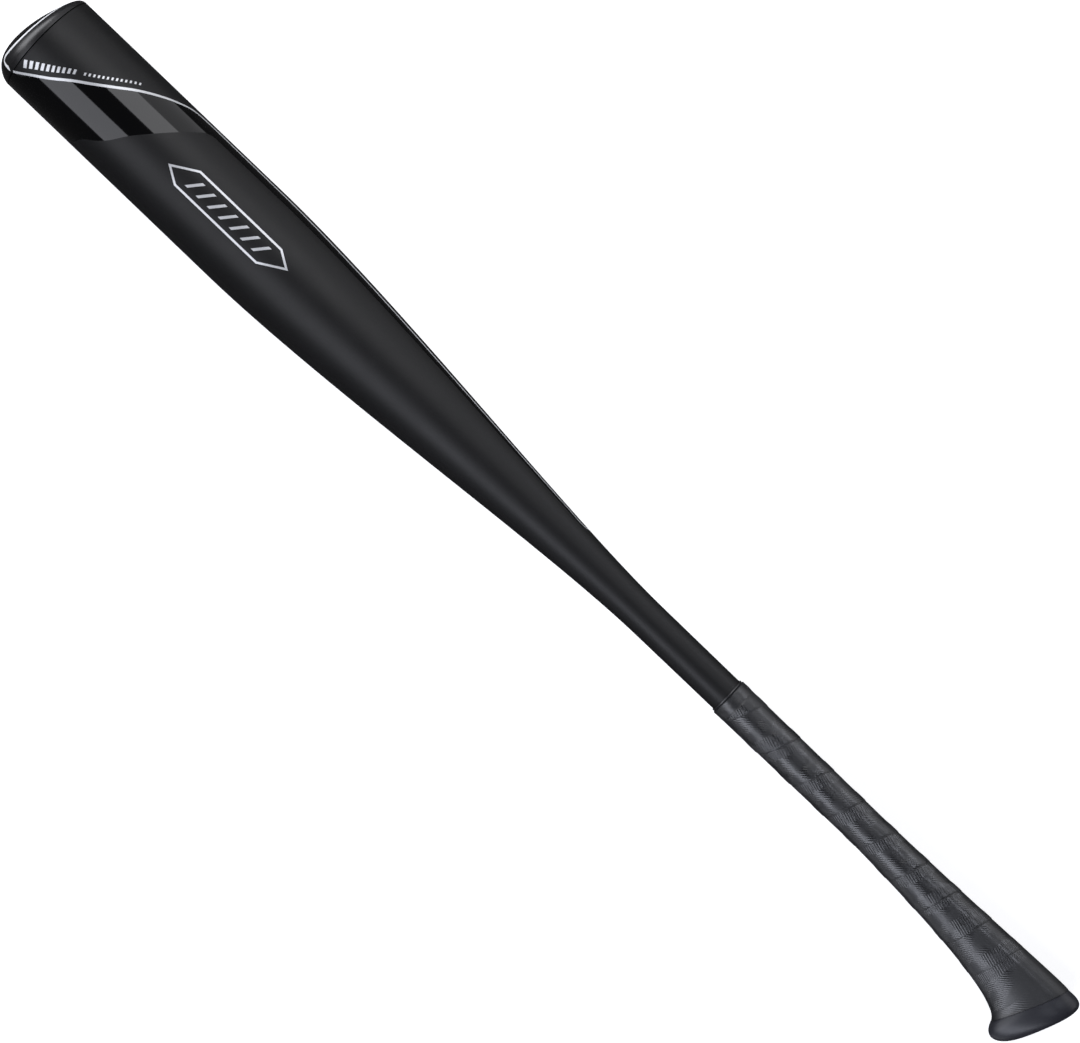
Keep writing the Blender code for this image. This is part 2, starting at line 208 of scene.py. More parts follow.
def band_ring(t, angles):
    """A section of the knob's band and rounded end, down to the pocket's mouth at t = 1."""
    swell = FLARE_HALF_DEPTH + (BAND_HALF_DEPTH - FLARE_HALF_DEPTH) * sin(pi * min(t, 0.5))
    half_depth = MOUTH_HALF_DEPTH + (swell - MOUTH_HALF_DEPTH) * sqrt(1.0 - t**3)
    return oval_ring(bezier(BAND_TOP, t), bezier(BAND_HEEL, t), half_depth, 1.0, 0.0, angles)


def knob_end():
    """Centre and outward normal of the flat at the end of the knob, in the plane z = 0."""
    top, heel = bezier(BAND_TOP, 1.0), bezier(BAND_HEEL, 1.0)
    across = (top - heel) / np.hypot(*(top - heel))
    return (top + heel) / 2, np.array([across[1], -across[0]])


def pocket_ring(depth, inset, angles):
    """The outline of the plug's pocket, at a depth below the flat end."""
    _, normal = knob_end()
    top, heel = bezier(BAND_TOP, 1.0), bezier(BAND_HEEL, 1.0)
    ring = oval_ring(top, heel, MOUTH_HALF_DEPTH, 1.0, inset, angles)
    ring[:, :2] -= depth * normal
    return ring


def wrap_radius(x):
    """Outer radius of the wrap on the round part of the handle."""
    return WRAP_START_R + (FLARE_R - WRAP_START_R) * (x - TAPE_END_X) / (SWAGE_START_X - TAPE_END_X)


def body_radius(x):
    """Outer radius of the body at any station from the mouth to the swage."""
    t = np.linspace(0.0, 1.0, 401)
    curve = bezier(TAPER, t)
    stations = np.concatenate([[MOUTH_X - 0.1], curve[:, 0], [TAPE_END_X, SWAGE_START_X]])
    ends = [WRAP_START_R - WRAP_SEAT, FLARE_R - WRAP_SEAT]
    return np.interp(x, stations, np.concatenate([[BARREL_R], curve[:, 1], ends]))


def dome_point(radius, height, share, angle):
    """A point of the slanted dome at a share of its radius; x = 0 at the rim, crown towards -x."""
    up = -height * (1.0 - share**CAP_POWER) ** (1.0 / CAP_POWER)
    y = radius * share * np.cos(angle)
    z = radius * share * np.sin(angle)
    slant = CAP_SLANT * (1.0 - share**CAP_SLANT_FADE)
    return np.stack([slant * y + up + 0.0 * z, y, z], axis=-1)


# -------------------- meshes
def new_object(name, data):
    """An object in the scene."""
    made = bpy.data.objects.new(name, data)
    bpy.context.collection.objects.link(made)
    return made


def make_piece(name, points, faces, look, slot=None, replaces=None, crease=40.0):
    """A smooth-shaded piece from points in the bat's frame, riding on the one body."""
    mesh = bpy.data.meshes.new(name)
    mesh.from_pydata(to_world(points).tolist(), [], faces)
    tool = bmesh.new()
    tool.from_mesh(mesh)
    bmesh.ops.recalc_face_normals(tool, faces=tool.faces)
    tool.to_mesh(mesh)
    tool.free()
    mesh.shade_smooth()
    mesh.set_sharp_from_angle(angle=radians(crease))
    mesh.materials.append(look)
    piece = new_object(name, mesh)
    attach(piece, "root")
    if replaces:
        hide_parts(replaces)
    return piece


def skin(name, rings, look, closed, **roles):
    """A piece skinned from ring to ring. A closed chain joins its last ring to its first; an open
    one is closed by a fan at each end."""
    rings = [np.asarray(ring, float) for ring in rings]
    count = len(rings[0])
    points = np.concatenate(rings)
    index = np.arange(len(points)).reshape(len(rings), count)
    near, far = (index, np.roll(index, -1, axis=0)) if closed else (index[:-1], index[1:])
    quads = np.stack([near, np.roll(near, -1, axis=1), np.roll(far, -1, axis=1), far], axis=-1)
    faces = quads.reshape(-1, 4).tolist()
    if not closed:
        for ring in (index[0], index[-1]):
            points = np.vstack([points, points[ring].mean(axis=0)])
            hub = len(points) - 1
            faces += [(int(ring[i - 1]), int(ring[i]), hub) for i in range(count)]
    return make_piece(name, points, faces, look, **roles)


# -------------------- materials
def add(tree, kind, inputs=None, **settings):
    """A node with its settings made and its inputs set or linked."""
    made = tree.nodes.new(kind)
    for key, value in settings.items():
        setattr(made, key, value)
    for key, value in (inputs or {}).items():
        if isinstance(value, bpy.types.NodeSocket):
            tree.links.new(value, made.inputs[key])
        else:
            made.inputs[key].default_value = value
    return made


def calc(tree, operation, *values, clamp=False):
    """The output of a Math node on sockets or numbers."""
    made = add(tree, "ShaderNodeMath", dict(enumerate(values)), operation=operation, use_clamp=clamp)
    return made.outputs[0]


def vary(tree, source, amount, base):
    """base, plus amount times a noise's swing about its middle."""
    return calc(tree, "MULTIPLY_ADD", calc(tree, "SUBTRACT", source, 0.5), amount, base)


def blend(tree, factor, low, high):
    """A number that goes from low to high with factor."""
    made = add(tree, "ShaderNodeMapRange", {"Value": factor, "To Min": low, "To Max": high})
    return made.outputs["Result"]


def tint(tree, factor, low, high):
    """A colour that goes from low to high with factor."""
    made = add(tree, "ShaderNodeMix", {"Factor": factor}, data_type="RGBA")
    colours = [socket for socket in made.inputs if socket.type == "RGBA"]
    for target, value in zip(colours, (low, high)):
        if isinstance(value, bpy.types.NodeSocket):
            tree.links.new(value, target)
        else:
            target.default_value = (*value, 1.0)
    return next(s for s in made.outputs if s.type == "RGBA")


def bat_place(tree):
    """Position in the bat's frame, for any piece, as a vector."""
    turn = Matrix((AXIS_X, AXIS_Y, AXIS_Z))
    source = add(tree, "ShaderNodeTexCoord")
    inputs = {"Vector": source.outputs["Object"], "Location": -(turn @ ORIGIN), "Rotation": turn.to_euler()}
    return add(tree, "ShaderNodeMapping", inputs, vector_type="POINT").outputs["Vector"]


def noise(tree, place, scale, detail=3.0, rough=0.5, stretch=(1.0, 1.0, 1.0), warp=0.0):
    """Fractal noise; stretch multiplies the scale along each axis."""
    scaled = add(tree, "ShaderNodeVectorMath", {0: place, 1: stretch}, operation="MULTIPLY")
    inputs = {"Vector": scaled.outputs[0], "Scale": scale, "Detail": detail}
    inputs |= {"Roughness": rough, "Distortion": warp}
    return add(tree, "ShaderNodeTexNoise", inputs).outputs["Fac"]


def bump(tree, shader, height, strength, distance):
    """Bump from a height socket."""
    made = add(tree, "ShaderNodeBump", {"Height": height, "Strength": strength, "Distance": distance})
    tree.links.new(made.outputs["Normal"], shader.inputs["Normal"])


def new_look(name, **uniform):
    """A Principled material with its uniform values on the shader's own sockets."""
    look = bpy.data.materials.new(name)
    look.use_nodes = True
    shader = look.node_tree.nodes["Principled BSDF"]
    for key, value in uniform.items():
        socket = shader.inputs[key.replace("_", " ")]
        socket.default_value = (*value, 1.0) if isinstance(value, tuple) else value
    return look, look.node_tree, shader


# The painted zones. Angles are measured from the bat's top edge (+y) towards the front, and the
# back mirrors the front. The stripe parts the satin field at the cap from the gloss band, and the
# gloss band's other side is the slanted edge of the satin body. Both tables hold (station, degrees)
# that a separate program worked out from measured places, so they are data and not a design.
STRIPE = (
    (-0.4012, 140.5), (-0.3904, 125.7), (-0.3794, 111.7), (-0.3701, 99.0), (-0.3573, 83.8),
    (-0.3492, 73.1), (-0.3414, 61.9), (-0.3336, 51.4), (-0.3261, 41.0), (-0.3185, 30.7),
    (-0.3125, 22.8), (-0.3070, 17.6), (-0.2984, 16.5), (-0.2633, 16.6), (-0.2282, 17.1),
    (-0.1930, 17.8), (-0.1580, 18.2), (-0.1229, 18.8), (-0.0702, 19.4), (0.0000, 19.9), (0.0200, 19.9),
)
EDGE = (
    (-0.3640, 179.9), (-0.3444, 140.6), (-0.3342, 123.0), (-0.3252, 101.2), (-0.3161, 82.6),
    (-0.3044, 58.0), (-0.2992, 46.1), (-0.2945, 36.0), (-0.2900, 32.4), (-0.2633, 31.9),
    (-0.1930, 31.3), (-0.1229, 31.0), (-0.0702, 30.6), (-0.0176, 29.5), (0.0200, 28.7),
)
TIP_X = 0.0200  # where the stripe and the gloss band end on the taper
ZONE_LOW, ZONE_HIGH = -0.42, 0.03
TURN_SHARPNESS = 500.0  # of a zone's edge across half turns
LENGTH_SHARPNESS = 4000.0  # and across metres


def angle_curve(tree, x, table):
    """An angle in half turns that follows a table of (station, degrees)."""
    share = add(
        tree, "ShaderNodeMapRange", {"Value": x, "From Min": ZONE_LOW, "From Max": ZONE_HIGH}
    ).outputs["Result"]
    made = add(tree, "ShaderNodeFloatCurve", {"Value": share})
    curve = made.mapping.curves[0]
    span = ZONE_HIGH - ZONE_LOW
    spots = [(0.0, table[0][1] / 180.0)]
    spots += [((station - ZONE_LOW) / span, angle / 180.0) for station, angle in table]
    spots.append((1.0, table[-1][1] / 180.0))
    curve.points[0].location = spots[0]
    curve.points[1].location = spots[-1]
    for place in spots[1:-1]:
        curve.points.new(*place)
    for point in curve.points:
        point.handle_type = "AUTO_CLAMPED"
    made.mapping.update()
    return made.outputs["Value"]


def front_angle(tree, place):
    """Half turns from the top edge, the same on front and back, and the three coordinates."""
    parts = add(tree, "ShaderNodeSeparateXYZ", {"Vector": place}).outputs
    x, y, z = parts["X"], parts["Y"], parts["Z"]
    turn = calc(tree, "ARCTAN2", calc(tree, "ABSOLUTE", z), y)
    return calc(tree, "DIVIDE", turn, pi), x, y, z


def over(tree, value, limit, sharpness):
    """1 where value is above limit and 0 below, with a narrow ramp."""
    gap = calc(tree, "SUBTRACT", value, limit)
    return calc(tree, "MULTIPLY_ADD", gap, sharpness, 0.5, clamp=True)


SATIN = (0.0052, 0.0052, 0.0057)
GLOSS = (0.0018, 0.0018, 0.0021)


def paint_finish(tree, shader, place, gloss, dullness):
    """Satin charcoal where gloss is 0 and gloss black where it is 1, with a sprayed skin."""
    mottle = noise(tree, place, 55.0, 4.0, 0.55)
    grit = noise(tree, place, 2600.0, 2.0, 0.6)
    flake = add(tree, "ShaderNodeTexVoronoi", {"Vector": place, "Scale": 1900.0}).outputs["Color"]
    shade = vary(tree, mottle, 0.20, 1.0)
    sparkle = add(tree, "ShaderNodeSeparateColor", {"Color": flake}).outputs["Red"]
    shade = vary(tree, sparkle, 0.24, shade)
    satin = add(tree, "ShaderNodeVectorMath", {0: SATIN, "Scale": shade}, operation="SCALE").outputs[0]
    tree.links.new(tint(tree, gloss, satin, GLOSS), shader.inputs["Base Color"])
    grain = vary(tree, grit, 0.14, dullness)
    smear = vary(tree, mottle, 0.10, grain)
    polish = vary(tree, mottle, 0.05, 0.075)
    mixed = add(tree, "ShaderNodeMix", {0: gloss, 2: smear, 3: polish}, data_type="FLOAT")
    tree.links.new(mixed.outputs[0], shader.inputs["Roughness"])
    peel = noise(tree, place, 420.0, 2.0, 0.4)
    skin_height = calc(tree, "MULTIPLY_ADD", grit, 0.25, peel)
    bump(tree, shader, skin_height, 0.10, 0.00004)
    tree.links.new(calc(tree, "MULTIPLY", gloss, 0.42), shader.inputs["Coat Weight"])


def shell_look():
    """The painted alloy body."""
    look, tree, shader = new_look("painted_alloy", Specular_IOR_Level=0.31, Coat_Roughness=0.06)
    place = bat_place(tree)
    turn, x, _, _ = front_angle(tree, place)
    past_stripe = over(tree, turn, angle_curve(tree, x, STRIPE), TURN_SHARPNESS)
    before_edge = over(tree, angle_curve(tree, x, EDGE), turn, TURN_SHARPNESS)
    before_tip = over(tree, TIP_X, x, LENGTH_SHARPNESS)
    gloss = calc(tree, "MULTIPLY", calc(tree, "MULTIPLY", past_stripe, before_edge), before_tip)
    paint_finish(tree, shader, place, gloss, 0.47)
    return look


RIM_SHARE = 0.845  # where the silver line runs on the cap, as a share of the dome's radius
RIM_TURN = 141.0  # degrees from the top edge where it turns down to the barrel


def cap_look():
    """The cap's moulding: gloss, with a satin shoulder inside the silver line."""
    look, tree, shader = new_look("cap_gloss_moulding", Specular_IOR_Level=0.31, Coat_Roughness=0.06)
    place = bat_place(tree)
    turn, _, y, z = front_angle(tree, place)
    reach = calc(tree, "SQRT", calc(tree, "ADD", calc(tree, "POWER", y, 2.0), calc(tree, "POWER", z, 2.0)))
    inside = over(tree, BARREL_R * RIM_SHARE, reach, LENGTH_SHARPNESS)
    heel = over(tree, turn, (RIM_TURN + 2.0) / 180.0, TURN_SHARPNESS)
    paint_finish(tree, shader, place, calc(tree, "MAXIMUM", inside, heel), 0.34)
    return look


def silver_look():
    """Silver paint with a fine metallic grain."""
    look, tree, shader = new_look("silver_paint", Metallic=0.35, Coat_Weight=0.3, Coat_Roughness=0.2)
    place = bat_place(tree)
    grain = noise(tree, place, 3200.0, 2.0, 0.6)
    tree.links.new(tint(tree, grain, (0.50, 0.51, 0.53), (0.74, 0.75, 0.77)), shader.inputs["Base Color"])
    tree.links.new(blend(tree, grain, 0.26, 0.44), shader.inputs["Roughness"])
    bump(tree, shader, grain, 0.15, 0.00003)
    return look


RIDGE_NAMES = ("ridge_a", "ridge_b", "ridge_band", "ridge_stand")


def grip_look():
    """The wrap's soft polymer: painted shade in its ridges' grooves and painted highlight on their crests,
    a thin coat where ridges stand, and a fine grain."""
    look, tree, shader = new_look("grip_polymer_skin", Specular_IOR_Level=0.7, Coat_Roughness=0.2)
    place = bat_place(tree)
    cloud = noise(tree, place, 90.0, 4.0, 0.6)
    grain = noise(tree, place, 2400.0, 3.0, 0.65)
    worn = noise(tree, place, 34.0, 2.0, 0.5)
    shade = calc(tree, "MULTIPLY_ADD", grain, 0.35, calc(tree, "MULTIPLY", cloud, 0.65))
    rough = vary(tree, worn, 0.16, 0.28)
    rough = vary(tree, grain, 0.16, rough)
    a, b, band, stand = (
        add(tree, "ShaderNodeAttribute", attribute_name=name).outputs["Fac"] for name in RIDGE_NAMES
    )
    crests = [calc(tree, "COSINE", calc(tree, "MULTIPLY", phase, tau)) for phase in (a, b)]
    # Painted shade and highlight: the colour is darker in the ridges' grooves and paler on their crests,
    # following the relief.
    painted_ridge_light = calc(tree, "MULTIPLY", blend(tree, band, *crests), stand)
    shade = calc(tree, "MULTIPLY_ADD", painted_ridge_light, 0.42, calc(tree, "MULTIPLY_ADD", shade, 0.5, 0.25))
    base = tint(tree, shade, (0.0030, 0.0032, 0.0040), (0.0190, 0.0198, 0.0224))
    tree.links.new(base, shader.inputs["Base Color"])
    dulled = calc(tree, "MULTIPLY", calc(tree, "SUBTRACT", 1.0, stand), 0.22)
    tree.links.new(calc(tree, "ADD", rough, dulled), shader.inputs["Roughness"])
    tree.links.new(calc(tree, "MULTIPLY_ADD", stand, 0.34, 0.04), shader.inputs["Coat Weight"])
    waves = [calc(tree, "MULTIPLY", crest, depth) for crest, depth in zip(crests, (BUMP_A, BUMP_B))]
    ridges = calc(tree, "MULTIPLY", blend(tree, band, *waves), stand)
    height = calc(tree, "MULTIPLY_ADD", grain, GRAIN_DEPTH, ridges)
    bump(tree, shader, height, 1.0, 1.0)
    return look


def tape_look():
    """The finishing tape's smooth vinyl."""
    look, tree, shader = new_look("vinyl_tape", Specular_IOR_Level=0.8)
    place = bat_place(tree)
    stretch = noise(tree, place, 260.0, 3.0, 0.5, stretch=(0.25, 1.0, 1.0))
    grain = noise(tree, place, 2600.0, 2.0, 0.6)
    base = tint(tree, stretch, (0.0070, 0.0073, 0.0084), (0.0150, 0.0155, 0.0172))
    tree.links.new(base, shader.inputs["Base Color"])
    tree.links.new(blend(tree, stretch, 0.30, 0.46), shader.inputs["Roughness"])
    height = calc(tree, "MULTIPLY_ADD", grain, 0.3, stretch)
    bump(tree, shader, height, 0.25, 0.00008)
    return look


def moulded_look(name, dark, light, smooth, rough, grain_depth):
    """Moulded plastic: faint flow marks, a fine spark-eroded grain and rubbed patches."""
    look, tree, shader = new_look(name)
    place = bat_place(tree)
    flow = noise(tree, place, 46.0, 4.0, 0.55, warp=0.6)
    grain = noise(tree, place, 2100.0, 3.0, 0.6)
    shade = calc(tree, "MULTIPLY_ADD", grain, 0.3, calc(tree, "MULTIPLY", flow, 0.7))
    tree.links.new(tint(tree, shade, dark, light), shader.inputs["Base Color"])
    patchy = calc(tree, "MULTIPLY_ADD", grain, 0.4, calc(tree, "MULTIPLY", flow, 0.6))
    tree.links.new(blend(tree, patchy, smooth, rough), shader.inputs["Roughness"])
    bump(tree, shader, grain, grain_depth, 0.00006)
    return look


def steel_look():
    """Turned steel with ring marks."""
    look, tree, shader = new_look("turned_steel", Metallic=1.0)
    place = bat_place(tree)
    rings = noise(tree, place, 1500.0, 2.0, 0.5, stretch=(1.0, 0.05, 0.05))
    tree.links.new(tint(tree, rings, (0.34, 0.34, 0.35), (0.52, 0.52, 0.53)), shader.inputs["Base Color"])
    tree.links.new(blend(tree, rings, 0.28, 0.46), shader.inputs["Roughness"])
    bump(tree, shader, rings, 0.3, 0.00005)
    return look


# -------------------- body and cap
BODY_SIDES = 168
EDGE_ROUND = 0.00045  # rounding of the barrel's mouth
RIM_ROUND = EDGE_ROUND * 0.6  # and of the cap's rim


def build_body(look):
    """The hollow body: barrel, taper, handle and the drawn-down end inside the knob."""
    bore = BARREL_R - BARREL_WALL
    outline = [(MOUTH_X, bore), (MOUTH_X, BARREL_R - EDGE_ROUND)]
    for a in np.linspace(0.0, pi / 2, 5)[1:]:
        outline.append((MOUTH_X + EDGE_ROUND * (1 - cos(a)), BARREL_R - EDGE_ROUND * (1 - sin(a))))
    outline += [(x, BARREL_R) for x in np.linspace(MOUTH_X, TAPER[0][0], 30)[1:-1]]
    outline += [tuple(p) for p in bezier(TAPER, np.linspace(0.0, 1.0, 90))]
    outline += [(x, float(body_radius(x))) for x in np.linspace(TAPER_END_X, TAPE_END_X, 16)[1:]]
    outline += [(SWAGE_START_X, FLARE_R - WRAP_SEAT), (SWAGE_END_X, SWAGE_R), (TUBE_END_X, SWAGE_R)]
    thin = HANDLE_WALL
    outline += [(TUBE_END_X, SWAGE_R - thin), (SWAGE_END_X, SWAGE_R - thin)]
    outline += [(SWAGE_START_X, FLARE_R - WRAP_SEAT - thin)]
    outline += [(TAPE_END_X, float(body_radius(TAPE_END_X)) - thin)]
    for t in np.linspace(1.0, 0.0, 24):
        x, r = bezier(TAPER, t)
        outline.append((x, r - BARREL_WALL - (thin - BARREL_WALL) * t))
    rings = [circle(x, r, BODY_SIDES) for x, r in outline]
    skin("barrel_body", rings, look, True, slot="shell_paint", replaces="shell", crease=50.0)


def build_cap(look):
    """The slanted dome with its skirt."""
    a = sides_of(BODY_SIDES)
    rim = MOUTH_X - GAP
    shares = np.concatenate([[0.03], np.sin(np.linspace(0.06, 1.0, 64) * pi / 2)])
    rings = [dome_point(BARREL_R, CAP_HEIGHT, s, a) + [rim, 0, 0] for s in shares[:-1]]
    rings += [circle(rim - RIM_ROUND, BARREL_R, BODY_SIDES)]
    for turn in np.linspace(0.0, pi / 2, 4)[1:]:
        x = rim - RIM_ROUND * (1 - sin(turn))
        rings.append(circle(x, BARREL_R - RIM_ROUND * (1 - cos(turn)), BODY_SIDES))
    rings += [circle(rim, SKIRT_R, BODY_SIDES), circle(rim + SKIRT_LENGTH, SKIRT_R, BODY_SIDES)]
    rings += [circle(rim + SKIRT_LENGTH, SKIRT_INNER_R, BODY_SIDES)]
    inner = np.sin(np.linspace(1.0, 0.1, 14) * pi / 2)
    rings += [dome_point(SKIRT_INNER_R, CAP_INNER_HEIGHT, s, a) + [rim, 0, 0] for s in inner]
    skin("cap_dome", rings, look, False, slot="cap_moulding", replaces="end_cap", crease=50.0)


# -------------------- painted lines and marks
INK = 0.00005  # how far paint stands off the surface
INK_ROOT = 0.00004  # how far its body reaches below it
LINE_W = 0.0016
INK_CREASE = 30.0  # degrees between faces that are shaded as an edge


def body_point(x, angle, lift):
    """A point over the body's surface; angle in radians from the top edge."""
    radius = body_radius(x) + lift
    return np.stack([x, radius * np.cos(angle), radius * np.sin(angle)], axis=-1)


def smooth_path(knots, count):
    """Evenly spaced points of a smooth curve through knots in a flat plane."""
    knots = np.asarray(knots, float)
    padded = np.vstack([2 * knots[0] - knots[1], knots, 2 * knots[-1] - knots[-2]])
    parts = []
    for i in range(len(knots) - 1):
        p0, p1, p2, p3 = padded[i : i + 4]
        t = np.linspace(0.0, 1.0, 24, endpoint=False)[:, None]
        cubic = 2 * p1 + (p2 - p0) * t + (2 * p0 - 5 * p1 + 4 * p2 - p3) * t**2
        parts.append((cubic + (3 * p1 - p0 - 3 * p2 + p3) * t**3) / 2)
    dense = np.vstack(parts + [knots[-1:]])
    run = np.concatenate([[0.0], np.cumsum(np.hypot(*np.diff(dense, axis=0).T))])
    at = np.linspace(0.0, run[-1], count)
    return np.stack([np.interp(at, run, dense[:, 0]), np.interp(at, run, dense[:, 1])], axis=1)


def offsets(path, width):
    """The two sides of a line of some width along a flat path."""
    along = np.gradient(path, axis=0)
    along /= np.hypot(along[:, 0], along[:, 1])[:, None]
    side = np.stack([-along[:, 1], along[:, 0]], axis=1) * np.asarray(width)[..., None] / 2
    return path + side, path - side


def strip(left, right, surface):
    """Points and faces of a thin raised strip between two flat edges laid on a surface."""
    centre = (left + right) / 2
    rows = [surface(left, -INK_ROOT), surface(left, INK), surface(centre, INK)]
    rows += [surface(right, INK), surface(right, -INK_ROOT), surface(centre, -INK_ROOT)]
    points = np.stack(rows, axis=1).reshape(-1, 3)
    n, k = len(left), len(rows)
    faces = []
    for i in range(n - 1):
        for j in range(k):
            m = (j + 1) % k
            faces.append((i * k + j, i * k + m, (i + 1) * k + m, (i + 1) * k + j))
    for base in (0, (n - 1) * k):
        faces.append((base, base + 1, base + 2, base + 5))
        faces.append((base + 2, base + 3, base + 4, base + 5))
    return points, faces


def joined(parts):
    """One point list and face list out of several."""
    points, faces, start = [], [], 0
    for these, those in parts:
        points.append(these)
        faces += [tuple(start + i for i in face) for face in those]
        start += len(these)
    return np.vstack(points), faces


def flat_to_body(flat, lift):
    """Lays flat (station, arc at the barrel's radius) points on the body."""
    return body_point(flat[:, 0], flat[:, 1] / BARREL_R, lift)


def mirrored(part):
    """The same strip on the back of the bat."""
    points, faces = part
    return points * [1.0, 1.0, -1.0], [face[::-1] for face in faces]


STRIPE_START_GAP = 0.0001  # from the barrel's mouth to the stripe's first point
STRIPE_START_ANGLE = 140.0
STRIPE_KNOTS = 36
STRIPE_POINTS = 720


def stripe_path(count):
    """The silver stripe from the cap's seam to its tip, in the flat plane."""
    knots = [(x, radians(angle) * BARREL_R) for x, angle in STRIPE]
    knots[0] = (MOUTH_X + STRIPE_START_GAP, radians(STRIPE_START_ANGLE) * BARREL_R)
    return smooth_path(knots, count)


TIP_REACH = 0.0045  # length of the point in which the two stripes meet over the top edge


def build_stripe(look):
    """The silver line round the gloss band, front and back, closed by a point on the taper."""
    front = stripe_path(STRIPE_KNOTS)
    tip = np.array([[TIP_X + TIP_REACH, 0.0]])
    path = smooth_path(np.vstack([front, tip, front[::-1] * [1.0, -1.0]]), STRIPE_POINTS)
    sides = offsets(path, np.full(len(path), LINE_W))
    make_piece("silver_stripe", *strip(*sides, flat_to_body), look, crease=INK_CREASE)


RIM_LINE_W = LINE_W * 0.9
RIM_LINE_END = 0.9965  # share of the dome's radius that the line stays within
RIM_POINTS = 520
DOME_LAST_SHARE = 0.998  # the furthest share at which a point is laid on the dome
DOME_PROBE = 0.0005  # step, in share and in radians, that measures the dome's slope
DOME_PROBE_LIMIT = 0.9999  # the furthest share that the step reaches


def build_rim_line(look):
    """The silver line on the cap, which turns down to the seam and meets the stripe."""
    rim = MOUTH_X - GAP
    knots = [(RIM_SHARE, angle) for angle in (0.0, 60.0, 120.0, 137.0)]
    knots += [(0.852, 142.5), (0.880, 145.6), (0.925, 145.6), (0.965, 143.6), (0.9935, 141.2)]
    front = np.array([(BARREL_R * s, radians(a) * BARREL_R) for s, a in knots])
    path = smooth_path(np.vstack([front[:0:-1] * [1.0, -1.0], front]), RIM_POINTS)
    left, right = offsets(path, np.full(len(path), RIM_LINE_W))
    right[:, 0] = np.minimum(right[:, 0], BARREL_R * RIM_LINE_END)
    left[:, 0] = np.minimum(left[:, 0], BARREL_R * RIM_LINE_END)

    def on_dome(flat_points, lift):
        share = np.minimum(flat_points[:, 0] / BARREL_R, DOME_LAST_SHARE)
        angle = flat_points[:, 1] / BARREL_R
        here = dome_point(BARREL_R, CAP_HEIGHT, share, angle)
        further = np.minimum(share + DOME_PROBE, DOME_PROBE_LIMIT)
        out = dome_point(BARREL_R, CAP_HEIGHT, further, angle) - here
        around = dome_point(BARREL_R, CAP_HEIGHT, share, angle + DOME_PROBE) - here
        normal = np.cross(around, out)
        normal /= np.linalg.norm(normal, axis=1)[:, None]
        normal *= np.sign(-normal[:, :1])
        return here + lift * normal + [rim, 0.0, 0.0]

    make_piece("silver_rim_line", *strip(left, right, on_dome), look, crease=INK_CREASE)


def quad_mark(corners, rows=5):
    """A filled mark between two flat edges, each given by its two ends."""
    a, b, c, d = (np.array(p, float) for p in corners)
    t = np.linspace(0.0, 1.0, rows)[:, None]
    return strip(a + (b - a) * t, d + (c - d) * t, flat_to_body)


MARK_OFFSET = 0.0038  # from the stripe to the foot of the row of marks
MARK_PATH_POINTS = 600
AHEAD = 0.001  # distance along the stripe over which its direction is taken
BIG_MARKS, SMALL_MARKS = 10, 13
BIG_START, BIG_PITCH, BIG_PITCH_LOSS = 0.0078, 0.0037, 0.00004
BIG_HEIGHT, BIG_HEIGHT_LOSS = 0.0050, 0.0022
BIG_WIDTH, BIG_WIDTH_LOSS = 0.0021, 0.0006
BIG_LEAN = 0.0008
SMALL_START, SMALL_PITCH = 0.0442, 0.00272
SMALL_FOOT, SMALL_HEAD = 0.0002, 0.0019
SMALL_WIDTH, SMALL_LEAN = 0.0012, 0.0004


def build_marks(look):
    """Two rows of plain slanted bars along the stripe: a tall fading one, then a small one."""
    path = stripe_path(MARK_PATH_POINTS)
    run = np.concatenate([[0.0], np.cumsum(np.hypot(*np.diff(path, axis=0).T))])
    parts = []

    def at(distance, off):
        x = np.interp(distance, run, path[:, 0])
        s = np.interp(distance, run, path[:, 1])
        ahead = np.array([np.interp(distance + AHEAD, run, path[:, i]) for i in (0, 1)])
        along = ahead - [x, s]
        along /= np.hypot(*along)
        return np.array([x, s]) + off * np.array([along[1], -along[0]])

    def bar(start, width, low, high, lean):
        end = start + width
        return quad_mark((at(start, low), at(start + lean, high), at(end + lean, high), at(end, low)))

    for i in range(BIG_MARKS):
        share = i / (BIG_MARKS - 1)
        start = BIG_START + BIG_PITCH * i - BIG_PITCH_LOSS * i * i
        height = BIG_HEIGHT - BIG_HEIGHT_LOSS * share
        width = BIG_WIDTH - BIG_WIDTH_LOSS * share
        parts.append(bar(start, width, MARK_OFFSET, MARK_OFFSET + height, BIG_LEAN))
    low, high = MARK_OFFSET + SMALL_FOOT, MARK_OFFSET + SMALL_HEAD
    for i in range(SMALL_MARKS):
        parts.append(bar(SMALL_START + SMALL_PITCH * i, SMALL_WIDTH, low, high, SMALL_LEAN))
    parts += [mirrored(part) for part in parts]
    make_piece("silver_marks", *joined(parts), look, crease=INK_CREASE)


EMBLEM_X = -0.2511
EMBLEM_ARC = pi / 2 * BARREL_R
EMBLEM_HALF = 0.0450
EMBLEM_RISE = 0.0078
EMBLEM_TIP = 0.2  # how far its end corners lie off the middle, as a share of the rise
EMBLEM_NEAR, EMBLEM_FAR = 0.66, 0.78  # where its long sides end, as shares of the half length
EMBLEM_LINE_W = 0.0013
EMBLEM_STROKES = 7
STROKE_PITCH = 0.0088
STROKE_HALF_W = 0.0011
STROKE_LEAN = 0.0034
STROKE_RISE = 0.52  # as a share of the emblem's
OUTLINE_STEP = 0.0015  # about the length of a face along an outline


